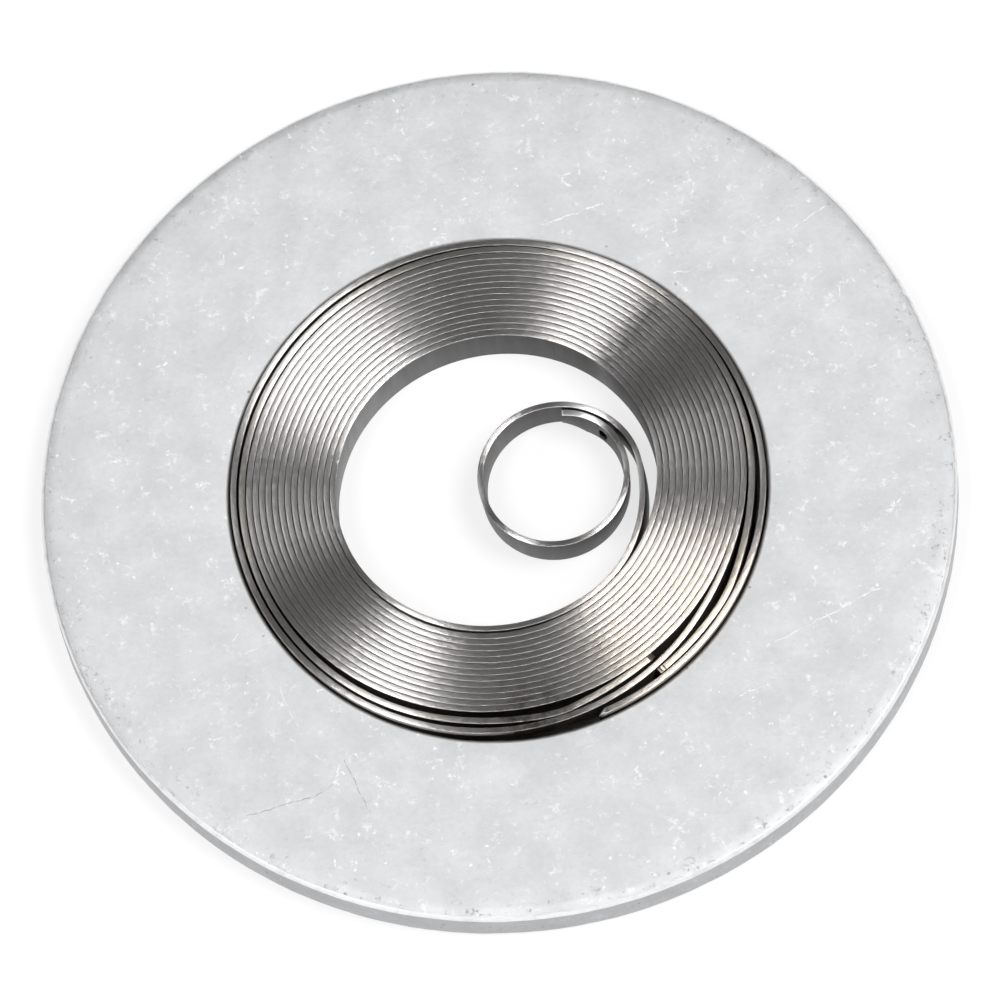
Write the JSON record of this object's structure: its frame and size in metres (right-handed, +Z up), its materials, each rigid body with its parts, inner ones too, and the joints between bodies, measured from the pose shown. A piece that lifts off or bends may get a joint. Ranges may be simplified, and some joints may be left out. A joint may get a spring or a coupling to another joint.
{
  "type": "watch mainspring",
  "caption": "Flat spiral steel spring wound in a thin round storage washer, with an inner eye for the arbor and an outer bridle that grips the barrel wall.",
  "frame": {"origin": "on the washer's axis, at its underside", "axes": "+Z up out of the washer's top face, along the arbor; +X and +Y in the plane of the coil, +X to the right in the picture; the strip winds inward counter-clockwise seen from +Z"},
  "size_m": [0.0172, 0.0172, 0.0009],
  "materials": {
    "washer": "tumbled matte, faintly mottled, tiny pits and light scratches",
    "spring_strip": "bright drawn strip with rounded, polished edges",
    "bridle_strip": "bright drawn strip, browned where it meets the last turn"
  },
  "bodies": {
    "root": {"washer": "washer", "mainspring": "spring_strip", "bridle": "bridle_strip"}
  },
  "joints": []
}
